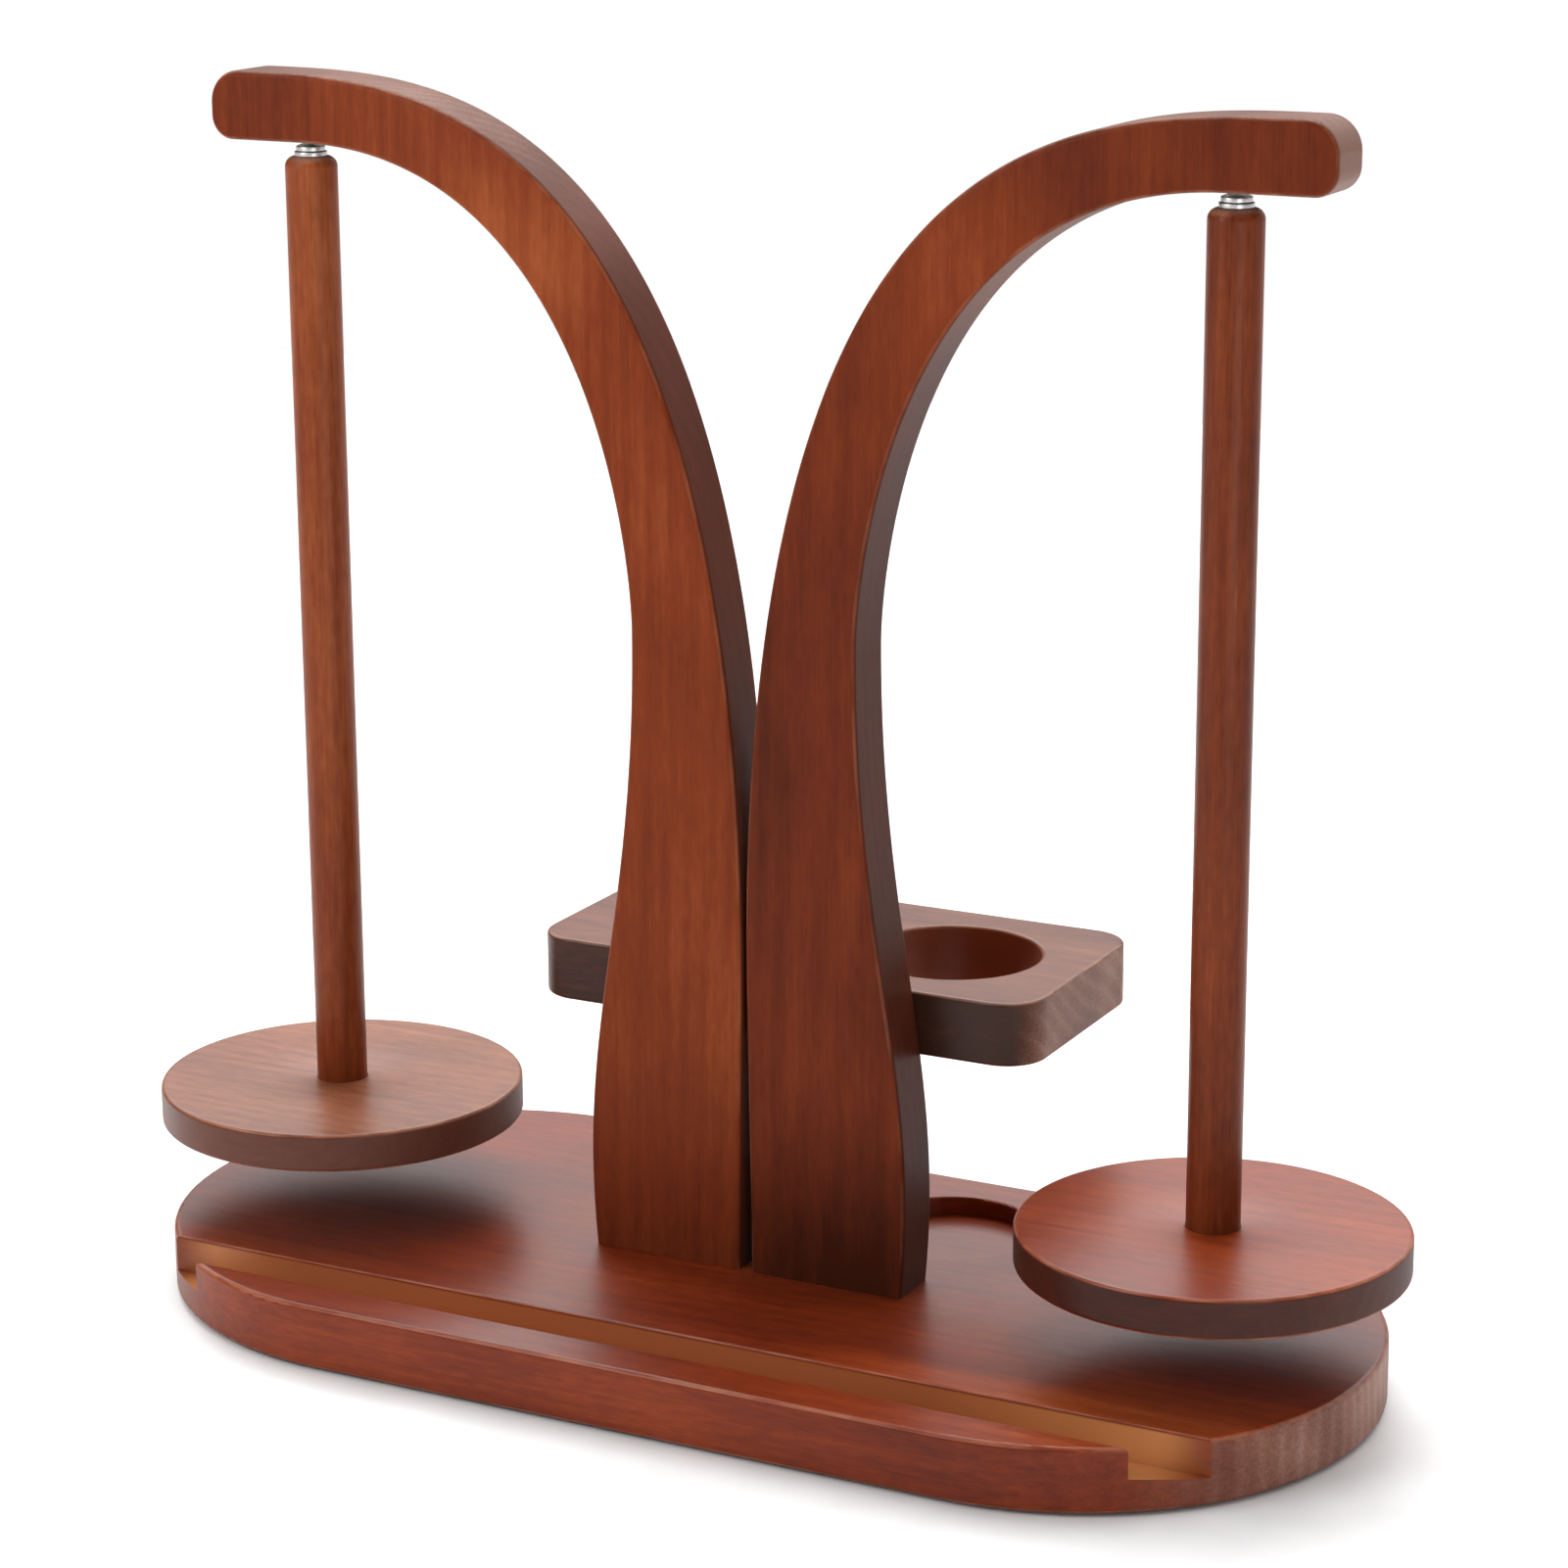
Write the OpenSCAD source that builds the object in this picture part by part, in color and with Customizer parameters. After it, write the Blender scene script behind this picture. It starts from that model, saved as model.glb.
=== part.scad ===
// Double hanging yarn rack: two curved wooden arms stand on a long base, and a
// spindle with a yarn disc hangs from a magnet under the tip of each arm.
// Millimetres, +Z up. The origin is on the table, under the middle of the base.
// The front, with the slot, faces -Y.

/* [Base board] */
// Length of the base, over its half-round ends
base_length = 360; // [340:1:400]
// Depth of the base, front to back
base_depth = 171; // [165:1:190]
// Thickness of the base
base_t = 18; // [16:0.5:24]
// Round-over along the base's edges
base_round = 1.5; // [0.5:0.1:3]
// Width of the lip in front of the slot
lip_w = 14; // [10:0.5:18]
// Width of the slot
slot_w = 14.3; // [10:0.1:18]
// Depth of the slot at its front wall
slot_front_d = 8.5; // [6:0.1:10]
// Depth of the slot at its rear wall
slot_rear_d = 10.5; // [8:0.1:12]
// Depth of the round recesses below the shelf's holes
recess_d = 5.5; // [4:0.5:8]
// Easing of the slot's lips and the recesses' rims
lip_ease = 0.7; // [0.3:0.1:1.5]

/* [Foot pads] */
// Diameter of a foot pad
pad_d = 14; // [8:1:20]
// Thickness of a foot pad
pad_t = 2; // [1.6:0.1:3]
// How far a pad is let into the base
pad_sunk = 1; // [0.4:0.1:1.2]
// Distance of a pad's centre from the base's edge
pad_in = 20; // [14:1:30]

/* [Arms] */
// Thickness of an arm, front to back
arm_t = 18; // [16:0.5:24]
// Height of an arm above the base
arm_h = 325; // [300:1:340]
// Distance from the centre line to an arm's tip
arm_reach = 164.5; // [155:0.5:175]
// Gap between the two feet
foot_gap = 3.6; // [2:0.1:6]
// Width of a foot where it meets the base
foot_w = 45.8; // [42:0.1:55]
// How far the outer edge swells past the foot
foot_swell = 1.2; // [0.5:0.1:3]
// Height of the swell above the base
swell_h = 25; // [18:1:35]
// Gap between the arms where they come closest
neck_gap = 1.2; // [0.8:0.1:3]
// Height at which the arms come closest
neck_h = 89; // [75:1:110]
// Width of an arm at its waist
waist_w = 33.2; // [28:0.2:38]
// Height of the waist above the base
waist_h = 179; // [165:1:190]
// Height of the arm's tip, top to underside
tip_h = 19; // [17:0.5:22]
// Radius of the tip's upper corner
tip_top_r = 9; // [5:0.5:10]
// Radius of the tip's lower corner
tip_low_r = 6.5; // [3:0.5:7]
// Length of the level underside at the tip
tip_flat = 29; // [24:0.5:34]
// Length of the level top at the tip
crown_flat = 13.5; // [11:0.5:20]
// Round-over along an arm's edges
arm_round = 1.5; // [0.5:0.1:2.5]

/* [Arm curves] */
// Upward pull of the outer sweep where it leaves the neck
sweep_up = 0.99; // [0.9:0.01:1]
// Inward pull of the outer sweep where it meets the crown
sweep_in = 0.37; // [0.3:0.01:0.45]
// Upward pull of the hollow above the waist
hollow_up = 0.17; // [0.1:0.01:0.3]
// Inward pull of the hollow under the tip
hollow_in = 0.89; // [0.8:0.01:0.95]
// Downward pull of the edge into the waist
waist_pull = 0.46; // [0.35:0.01:0.55]
// Upward pull of the edge out of the swell
swell_pull = 0.32; // [0.2:0.01:0.4]
// Downward pull of the edge into the swell
swell_low_pull = 0.4; // [0.2:0.01:0.5]
// Upward pull of the edge out of the foot
foot_pull = 0.25; // [0.1:0.01:0.4]

/* [Shelf] */
// Length of the shelf
shelf_l = 155; // [140:1:170]
// Depth of the shelf behind the arms
shelf_w = 75.5; // [68:0.5:76]
// Thickness of the shelf
shelf_t = 18; // [16:0.5:24]
// Height of the shelf's top above the base
shelf_h = 82.6; // [70:0.2:100]
// Radius of the shelf's corners
shelf_corner = 12; // [8:0.5:16]
// Round-over along the shelf's edges
shelf_round = 1; // [0.5:0.1:2]
// Diameter of the holes in the shelf, and of the recesses below them
cup_d = 50; // [42:0.5:54]
// Distance between the two holes' centres
cup_pitch = 75; // [70:0.5:80]

/* [Spindles] */
// Distance of a spindle's axis from the arm's tip
spindle_in = 28.5; // [26:0.5:32]
// How far a spindle's axis lies in front of the arm's middle
spindle_front = 2.5; // [0:0.1:3]
// Gap between a disc and the base
disc_gap = 23.8; // [20:0.2:30]
// Diameter of a disc
disc_d = 105; // [90:1:110]
// Thickness of a disc
disc_t = 11; // [9:0.5:14]
// Round-over along a disc's rim
disc_round = 1.2; // [0.5:0.1:3]
// Diameter of a rod
rod_d = 14.5; // [13:0.1:18]
// Rounded shoulder at a rod's top
rod_round = 3; // [1:0.1:3.4]
// How far a rod is let into its disc
rod_sunk = 4; // [3:0.5:5]

/* [Magnets] */
// Outer diameter of a magnet cup
cup_outer_d = 8; // [7.6:0.1:10]
// Wall of a magnet cup
cup_wall = 0.7; // [0.5:0.1:1]
// Floor of a magnet cup
cup_floor = 0.8; // [0.6:0.1:1.2]
// How far the magnet's face lies inside the cup's rim
magnet_sunk = 0.35; // [0.3:0.05:0.5]
// Thickness of a magnet
magnet_t = 3; // [2:0.1:4]

/* [Swivels] */
// Diameter of a pivot ball
ball_d = 2.4; // [2.2:0.1:2.6]
// How far a ball stands out of its stud
ball_proud = 1; // [0.95:0.05:1.05]
// Diameter of a stud's head
stud_head_d = 8; // [7:0.1:8.6]
// Height of a stud's head
stud_head_h = 1.8; // [1.8:0.1:2.4]
// Height of the bevel round the top of that head
stud_bevel_h = 0.6; // [0.5:0.1:0.8]
// Width of that bevel
stud_bevel_w = 1.4; // [1:0.1:1.6]
// Diameter of a stud's shank
stud_d = 3; // [2.5:0.1:3.5]
// Diameter of the collar at a stud's lower end
collar_d = 5; // [4.5:0.1:5.5]
// Height of that collar
collar_h = 1.5; // [1:0.1:2.5]
// Diameter of the flange on top of a sleeve
flange_d = 9; // [8.7:0.1:10]
// Thickness of that flange
flange_t = 1.2; // [1:0.1:2]
// Outer diameter of a sleeve inside its rod
sleeve_d = 7; // [6.5:0.1:8]
// Length of a sleeve below its flange
sleeve_l = 8; // [6:0.5:12]

/* [Screws and dowels] */
// Shank diameter of the screws under the base
arm_screw_d = 5; // [4:0.1:6]
// Length of the screws under the base
arm_screw_l = 50; // [40:1:60]
// Diameter of the dowels under the arms
arm_dowel_d = 8; // [6:0.5:8]
// Length of the dowels under the arms
arm_dowel_l = 30; // [20:1:34]
// Distance between the two dowels of an arm
arm_dowel_pitch = 26; // [24:1:28]
// Share of those dowels' length that sits in the base
arm_dowel_share = 0.4; // [0.3:0.05:0.42]
// Diameter of the dowels behind the arms
shelf_dowel_d = 6; // [5:0.5:8]
// Length of the dowels behind the arms
shelf_dowel_l = 20; // [16:1:22]
// Distance of the inner shelf dowels from the centre line
shelf_dowel_x = 9; // [8:0.5:11]
// Distance between the two shelf dowels of an arm
shelf_dowel_pitch = 22; // [18:1:24]
// Shank diameter of the screws under the discs
disc_screw_d = 4; // [3:0.1:5]
// Length of the screws under the discs
disc_screw_l = 30; // [24:1:40]
// Shank diameter of the screws in the magnet cups
magnet_screw_d = 2.5; // [2:0.1:2.6]
// Length of the screws in the magnet cups
magnet_screw_l = 10; // [8:1:12]

/* [Hidden] */

// Radial clearance of a piece that is pushed or glued into a hole
snug = 0.05;
// Radial clearance of a piece that turns in a hole
running = 0.06;
// Clearance between faces that pass or rock on each other
air = 0.2;
// Gap left where the ball touches the magnet
touch = 0.05;
// Room left at the bottom of a blind hole
blind = 1;
// Cutting tools start this far outside the wood
cut = 1;
// Length that is sawn off below an arm's foot
foot_spare = 3;

// Shares of a screw's or dowel's diameter: height of the head, height of its rim, end bevel
head_share = 0.55;
rim_share = 0.1;
bevel_share = 0.125;

// Heights above the table
base_bottom = pad_t - pad_sunk;
base_top = base_bottom + base_t;
arm_under = base_top + arm_h - tip_h;
shelf_top = base_top + shelf_h;

// The spindle, from the magnet downwards
spindle_x = arm_reach - spindle_in;
spindle_y = -spindle_front;
magnet_face = arm_under + magnet_sunk;
ball_z = magnet_face - touch - ball_d / 2;
stud_top = magnet_face - touch - ball_proud;
flange_top = stud_top - stud_head_h - air;
rod_top = flange_top - flange_t;
sleeve_bottom = rod_top - sleeve_l;
collar_top = sleeve_bottom - air;
disc_bottom = base_top + disc_gap;
disc_top = disc_bottom + disc_t;
rod_bottom = disc_top - rod_sunk;

// The magnet and its cup, whose rim is flush with the arm's underside
magnet_d = cup_outer_d - 2 * cup_wall - 2 * snug;
magnet_screw_z = magnet_face + magnet_t + air;
cup_floor_z = magnet_screw_z + screw_head_h(magnet_screw_d);
cup_h = cup_floor_z + cup_floor - arm_under;

// The shelf's holes, in the middle of its depth
shelf_front = arm_t / 2;
cup_y = shelf_front + shelf_w / 2;

// The middle of a foot, where its screw goes
foot_middle = (foot_gap + foot_w) / 2;
arm_dowel_bottom = base_top - arm_dowel_l * arm_dowel_share;

round_fn = 96;
small_fn = 48;
pale_wood = [0.78, 0.62, 0.42];
warm_wood = [0.55, 0.26, 0.14];
white_metal = [0.86, 0.86, 0.88];
dark_wood = [0.47, 0.2, 0.11];
steel = [0.76, 0.76, 0.78];
rubber = [0.16, 0.16, 0.17];

// A point at share t of a cubic curve through a and d, pulled by b and c
function cubic(a, b, c, d, t) =
    pow(1 - t, 3) * a + 3 * pow(1 - t, 2) * t * b + 3 * (1 - t) * t * t * c + pow(t, 3) * d;

// That curve as steps, without its last point
function curve(a, b, c, d, steps) = [for (i = [0:steps - 1]) cubic(a, b, c, d, i / steps)];

// An arc about c with radius r, from angle a through the given turn
function corner(c, r, a, turn, steps) =
    [for (i = [0:steps]) c + r * [cos(a + turn * i / steps), sin(a + turn * i / steps)]];

// The right arm's back edge from below the foot up, then its tip's upper corner: x from the centre
// line, z above the base. Both edges have as many points, so that each point has one opposite.
function back_edge() =
    let (foot = [foot_gap / 2, 0])
    let (neck = [neck_gap / 2, neck_h])
    let (crown = [arm_reach - crown_flat, arm_h])
    concat(
        [foot - [0, foot_spare]],
        [for (i = [0:11]) foot + (neck - foot) * i / 12],
        curve(neck, neck + [0, (arm_h - neck_h) * sweep_up],
            crown - [(crown[0] - neck[0]) * sweep_in, 0], crown, 28),
        [crown],
        corner([arm_reach - tip_top_r, arm_h - tip_top_r], tip_top_r, 90, -90, 6)
    );

// Its front edge from below the foot up: swell, waist and hollow, then the tip's lower corner
function front_edge() =
    let (foot = [foot_gap / 2 + foot_w, 0])
    let (swell = [foot[0] + foot_swell, swell_h])
    let (waist = [neck_gap / 2 + waist_w, waist_h])
    let (under = [arm_reach - tip_flat, arm_h - tip_h])
    let (rise = waist_h - swell_h)
    concat(
        [foot - [0, foot_spare]],
        curve(foot, foot + [foot_swell / 2, swell_h * foot_pull],
            swell - [0, swell_h * swell_low_pull], swell, 4),
        curve(swell, swell + [0, rise * swell_pull], waist - [0, rise * waist_pull], waist, 12),
        curve(waist, waist + [0, (under[1] - waist_h) * hollow_up],
            under - [(under[0] - waist[0]) * hollow_in, 0], under, 24),
        [under],
        corner([arm_reach - tip_low_r, under[1] + tip_low_r], tip_low_r, -90, 90, 6)
    );

// Unit normal to the right of the step from a to b, which points into a clockwise outline
function inward(a, b) = [b[1] - a[1], a[0] - b[0]] / norm(b - a);

// The outline drawn in by d, with mitred corners
function drawn_in(p, d) =
    let (n = len(p))
    [for (i = [0:n - 1])
        let (before = inward(p[(i + n - 1) % n], p[i]))
        let (after = inward(p[i], p[(i + 1) % n]))
        p[i] + d * (before + after) / (1 + before * after)];

// A plate of thickness t in the XZ plane between two edges of as many points, the left one
// first, with its long edges rounded in steps with radius r. Each flat side is a ladder of
// triangles between the two edges.
module rounded_plate(left, right, t, r, steps) {
    half = len(left);
    n = 2 * half;
    outline = concat(left, [for (i = [half - 1:-1:0]) right[i]]);
    front = [for (k = [0:steps]) [r * (1 - sin(90 * k / steps)), -t / 2 + r * (1 - cos(90 * k / steps))]];
    back = [for (k = [0:steps]) [front[steps - k][0], -front[steps - k][1]]];
    rings = concat(front, back);
    last = (len(rings) - 1) * n;
    points = [for (ring = rings) for (p = drawn_in(outline, ring[0])) [p[0], ring[1], p[1]]];
    sides = [for (k = [0:len(rings) - 2]) for (i = [0:n - 1])
        let (a = k * n + i, b = k * n + (i + 1) % n)
        each [[a, b, b + n], [a, b + n, a + n]]];
    rungs = [for (i = [0:half - 2])
        let (a = i, b = i + 1, c = n - 2 - i, d = n - 1 - i)
        each [[a, c, b], [a, d, c]]];
    far_rungs = [for (f = rungs) [last + f[0], last + f[2], last + f[1]]];
    polyhedron(points, concat(sides, rungs, far_rungs), convexity = 6);
}

// Half the section of a board from its middle: half width w, thickness t, edges rounded by e
module half_section(w, t, e) {
    square([w - e, t]);
    translate([0, e])
        square([w, t - 2 * e]);
    for (z = [e, t - e])
        translate([w - e, z])
            circle(e, $fn = small_fn);
}

// The whole of that section
module full_section(w, t, e) {
    half_section(w, t, e);
    mirror([1, 0])
        half_section(w, t, e);
}

// A flat board, l by w by t, with corners of radius c and edges rounded by e, standing on z = 0
module rounded_board(l, w, t, c, e) {
    for (x = [-1, 1]) for (y = [-1, 1])
        translate([x * (l / 2 - c), y * (w / 2 - c), 0])
            rotate_extrude($fn = round_fn)
                half_section(c, t, e);
    rotate([90, 0, 90])
        translate([0, 0, -(l / 2 - c)])
            linear_extrude(l - 2 * c)
                full_section(w / 2, t, e);
    if (w > 2 * c)
        rotate([90, 0, 0])
            translate([0, 0, -(w / 2 - c)])
                linear_extrude(w - 2 * c)
                    full_section(l / 2, t, e);
}

// A board with half-round ends: a revolved end at each side of a straight length
module stadium_board(l, w, t, e) {
    for (x = [-1, 1])
        translate([x * (l - w) / 2, 0, 0])
            rotate_extrude($fn = round_fn)
                half_section(w / 2, t, e);
    rotate([90, 0, 90])
        translate([0, 0, -(l - w) / 2])
            linear_extrude(l - w)
                full_section(w / 2, t, e);
}

// Height of a countersunk head on a shank of diameter d, its rim with it
function screw_head_h(d) = head_share * d;

// A countersunk screw, its head's face on z = 0 and its point up; grow widens it into its hole
module screw(d, l, grow = 0) {
    head_d = 2 * d;
    rim_h = rim_share * d;
    head_h = screw_head_h(d);
    rotate_extrude($fn = small_fn)
        polygon([
            [0, 0],
            [head_d / 2 + grow, 0],
            [head_d / 2 + grow, rim_h],
            [d / 2 + grow, head_h],
            [d / 2 + grow, l - d + grow],
            [0, l + grow]
        ]);
}

// A dowel along +Z with chamfered ends
module dowel(d, l) {
    bevel = bevel_share * d;
    rotate_extrude($fn = small_fn)
        polygon([
            [0, 0],
            [d / 2 - bevel, 0],
            [d / 2, bevel],
            [d / 2, l - bevel],
            [d / 2 - bevel, l],
            [0, l]
        ]);
}

// Places at the four foot pads
module at_pads() {
    for (x = [-1, 1]) for (y = [-1, 1])
        translate([x * (base_length - base_depth) / 2, y * (base_depth / 2 - pad_in), 0])
            children();
}

// Places at the screw in each foot
module at_arm_screws() {
    for (x = [-1, 1])
        translate([x * foot_middle, 0, 0])
            children();
}

// Places at the dowels in each foot
module at_arm_dowels() {
    for (x = [-1, 1]) for (side = [-1, 1])
        translate([x * (foot_middle + side * arm_dowel_pitch / 2), 0, 0])
            children();
}

// Places at the shelf's dowels, which lie along +Y and sit half in the arm and half in the shelf
module at_shelf_dowels() {
    for (x = [-1, 1]) for (k = [0, 1])
        translate([x * (shelf_dowel_x + k * shelf_dowel_pitch), shelf_front, shelf_top - shelf_t / 2])
            rotate([-90, 0, 0])
                children();
}

// A child drawn on the right spindle's axis, put on the right (side 1) or the left (side -1)
module on_spindle(side) {
    translate([side * spindle_x, spindle_y, 0])
        children();
}

// Section of the slot, y across and z up, with a floor that falls to the rear and eased lips
module slot_section() {
    front = -base_depth / 2 + lip_w;
    rear = front + slot_w;
    e = lip_ease;
    difference() {
        polygon([
            [front, base_top - slot_front_d],
            [rear, base_top - slot_rear_d],
            [rear, base_top - e],
            [rear + e, base_top - e],
            [rear + e, base_top + cut],
            [front - e, base_top + cut],
            [front - e, base_top - e],
            [front, base_top - e]
        ]);
        for (y = [front - e, rear + e])
            translate([y, base_top - e])
                circle(e, $fn = small_fn);
    }
}

// A round recess below z = 0 for the foot of a cup, with an eased rim
module recess() {
    r = cup_d / 2;
    e = lip_ease;
    rotate_extrude($fn = round_fn)
        difference() {
            translate([0, -recess_d])
                square([r + e, recess_d + cut]);
            translate([r, -recess_d - cut])
                square([e + cut, recess_d + cut - e]);
            translate([r + e, -e])
                circle(e, $fn = small_fn);
        }
}

module base_board() {
    color(warm_wood)
        difference() {
            translate([0, 0, base_bottom])
                stadium_board(base_length, base_depth, base_t, base_round);
            rotate([90, 0, 90])
                translate([0, 0, -base_length / 2])
                    linear_extrude(base_length)
                        slot_section();
            for (x = [-1, 1])
                translate([x * cup_pitch / 2, cup_y, base_top])
                    recess();
            at_pads()
                translate([0, 0, base_bottom - cut])
                    cylinder(d = pad_d + 2 * snug, h = pad_sunk + cut, $fn = small_fn);
            at_arm_dowels()
                translate([0, 0, arm_dowel_bottom - blind])
                    cylinder(d = arm_dowel_d + 2 * snug, h = arm_dowel_l, $fn = small_fn);
            at_arm_screws()
                translate([0, 0, base_bottom])
                    screw(arm_screw_d, arm_screw_l, snug);
        }
}

// The right arm, sawn off square at the foot, with the holes for its screw, dowels and magnet cup
module right_arm_shape() {
    difference() {
        translate([0, 0, base_top])
            rounded_plate(back_edge(), front_edge(), arm_t, arm_round, 3);
        translate([0, -arm_t / 2 - cut, base_top - foot_spare - cut])
            cube([arm_reach, arm_t + 2 * cut, foot_spare + cut]);
        at_arm_dowels()
            translate([0, 0, arm_dowel_bottom])
                cylinder(d = arm_dowel_d + 2 * snug, h = arm_dowel_l + blind, $fn = small_fn);
        at_arm_screws()
            translate([0, 0, base_bottom])
                screw(arm_screw_d, arm_screw_l, snug);
        at_shelf_dowels()
            translate([0, 0, -shelf_dowel_l / 2 - blind])
                cylinder(d = shelf_dowel_d + 2 * snug, h = shelf_dowel_l, $fn = small_fn);
        on_spindle(1) {
            translate([0, 0, arm_under - cut])
                cylinder(d = cup_outer_d + 2 * snug, h = cup_h + snug + cut, $fn = small_fn);
            translate([0, 0, magnet_screw_z])
                cylinder(d = magnet_screw_d + 2 * snug, h = magnet_screw_l + blind, $fn = small_fn);
        }
    }
}

module right_arm() {
    color(dark_wood)
        right_arm_shape();
}

// The spindle's hole lies on the same side of the arm's middle in both arms, so a mirror serves
module left_arm() {
    color(dark_wood)
        mirror([1, 0, 0])
            right_arm_shape();
}

module cup_shelf() {
    color(dark_wood)
        difference() {
            translate([0, cup_y, shelf_top - shelf_t])
                rounded_board(shelf_l, shelf_w, shelf_t, shelf_corner, shelf_round);
            for (x = [-1, 1])
                translate([x * cup_pitch / 2, cup_y, shelf_top - shelf_t])
                    cup_hole();
            at_shelf_dowels()
                translate([0, 0, -cut])
                    cylinder(d = shelf_dowel_d + 2 * snug, h = shelf_dowel_l / 2 + blind + cut, $fn = small_fn);
        }
}

// The hole in the shelf, with its two rims rounded
module cup_hole() {
    r = cup_d / 2;
    e = shelf_round;
    rotate_extrude($fn = round_fn)
        difference() {
            translate([0, -cut])
                square([r + e, shelf_t + 2 * cut]);
            translate([r, e])
                square([e + cut, shelf_t - 2 * e]);
            for (z = [e, shelf_t - e])
                translate([r + e, z])
                    circle(e, $fn = small_fn);
        }
}

module foot_pads() {
    color(rubber)
        at_pads()
            cylinder(d = pad_d, h = pad_t, $fn = small_fn);
}

module arm_screws() {
    color(steel)
        at_arm_screws()
            translate([0, 0, base_bottom])
                screw(arm_screw_d, arm_screw_l);
}

module arm_dowels() {
    color(pale_wood)
        at_arm_dowels()
            translate([0, 0, arm_dowel_bottom])
                dowel(arm_dowel_d, arm_dowel_l);
}

module shelf_dowels() {
    color(pale_wood)
        at_shelf_dowels()
            translate([0, 0, -shelf_dowel_l / 2])
                dowel(shelf_dowel_d, shelf_dowel_l);
}

// The steel cup that is let into the arm, open downwards
module magnet_cup(side) {
    color(steel)
        on_spindle(side)
            difference() {
                translate([0, 0, arm_under])
                    cylinder(d = cup_outer_d, h = cup_h, $fn = small_fn);
                translate([0, 0, arm_under - cut])
                    cylinder(d = cup_outer_d - 2 * cup_wall, h = cup_h - cup_floor + cut, $fn = small_fn);
                translate([0, 0, arm_under])
                    cylinder(d = magnet_screw_d + 2 * snug, h = cup_h + cut, $fn = small_fn);
            }
}

module magnet(side) {
    color(white_metal)
        on_spindle(side)
            translate([0, 0, magnet_face])
                cylinder(d = magnet_d, h = magnet_t, $fn = small_fn);
}

// Its head lies against the inside of the cup's floor, above the magnet
module magnet_screw(side) {
    color(steel)
        on_spindle(side)
            translate([0, 0, magnet_screw_z])
                screw(magnet_screw_d, magnet_screw_l);
}

module pivot_ball(side) {
    color(steel)
        on_spindle(side)
            translate([0, 0, ball_z])
                sphere(d = ball_d, $fn = small_fn);
}

// A head that holds the ball, a shank on which the rod turns, and a collar that carries it
module swivel_stud(side) {
    head_bottom = stud_top - stud_head_h;
    r = stud_head_d / 2;
    color(steel)
        on_spindle(side)
            difference() {
                union() {
                    translate([0, 0, head_bottom])
                        rotate_extrude($fn = small_fn)
                            polygon([
                                [0, 0],
                                [r, 0],
                                [r, stud_head_h - stud_bevel_h],
                                [r - stud_bevel_w, stud_head_h],
                                [0, stud_head_h]
                            ]);
                    translate([0, 0, collar_top])
                        cylinder(d = stud_d, h = head_bottom - collar_top, $fn = small_fn);
                    translate([0, 0, collar_top - collar_h])
                        cylinder(d = collar_d, h = collar_h, $fn = small_fn);
                }
                translate([0, 0, ball_z])
                    sphere(d = ball_d + 2 * running, $fn = small_fn);
            }
}

// A flanged sleeve, fixed in the rod's top, that turns on the stud
module rod_sleeve(side) {
    color(steel)
        on_spindle(side)
            difference() {
                union() {
                    translate([0, 0, rod_top])
                        cylinder(d = flange_d, h = flange_t, $fn = small_fn);
                    translate([0, 0, sleeve_bottom])
                        cylinder(d = sleeve_d, h = sleeve_l + flange_t / 2, $fn = small_fn);
                }
                translate([0, 0, sleeve_bottom - cut])
                    cylinder(d = stud_d + 2 * running, h = sleeve_l + flange_t + 2 * cut, $fn = small_fn);
            }
}

// A round rod with a rounded shoulder, bored for the sleeve, the collar and the disc's screw
module spindle_rod(side) {
    length = rod_top - rod_bottom;
    r = rod_d / 2;
    color(dark_wood)
        on_spindle(side)
            difference() {
                translate([0, 0, rod_bottom])
                    rotate_extrude($fn = small_fn) {
                        square([r - rod_round, length]);
                        square([r, length - rod_round]);
                        translate([r - rod_round, length - rod_round])
                            circle(rod_round, $fn = small_fn);
                    }
                translate([0, 0, sleeve_bottom])
                    cylinder(d = sleeve_d + 2 * snug, h = sleeve_l + cut, $fn = small_fn);
                translate([0, 0, collar_top - collar_h - blind])
                    cylinder(d = collar_d + 2 * air, h = collar_h + blind + cut, $fn = small_fn);
                translate([0, 0, disc_bottom])
                    screw(disc_screw_d, disc_screw_l, snug);
            }
}

// A round disc with rounded rims, a socket for the rod and a countersunk hole for its screw
module yarn_disc(side) {
    color(warm_wood)
        on_spindle(side)
            difference() {
                translate([0, 0, disc_bottom])
                    rotate_extrude($fn = round_fn)
                        half_section(disc_d / 2, disc_t, disc_round);
                translate([0, 0, rod_bottom])
                    cylinder(d = rod_d + 2 * snug, h = rod_sunk + cut, $fn = small_fn);
                translate([0, 0, disc_bottom])
                    screw(disc_screw_d, disc_screw_l, snug);
            }
}

module disc_screw(side) {
    color(steel)
        on_spindle(side)
            translate([0, 0, disc_bottom])
                screw(disc_screw_d, disc_screw_l);
}

base_board();
left_arm();
right_arm();
cup_shelf();
foot_pads();
arm_screws();
arm_dowels();
shelf_dowels();
magnet_cup(-1);  // left_magnet_cup
magnet(-1);  // left_magnet
magnet_screw(-1);  // left_magnet_screw
pivot_ball(-1);  // left_pivot_ball
swivel_stud(-1);  // left_swivel_stud
rod_sleeve(-1);  // left_rod_sleeve
spindle_rod(-1);  // left_spindle_rod
yarn_disc(-1);  // left_yarn_disc
disc_screw(-1);  // left_disc_screw
magnet_cup(1);  // right_magnet_cup
magnet(1);  // right_magnet
magnet_screw(1);  // right_magnet_screw
pivot_ball(1);  // right_pivot_ball
swivel_stud(1);  // right_swivel_stud
rod_sleeve(1);  // right_rod_sleeve
spindle_rod(1);  // right_spindle_rod
yarn_disc(1);  // right_yarn_disc
disc_screw(1);  // right_disc_screw
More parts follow.
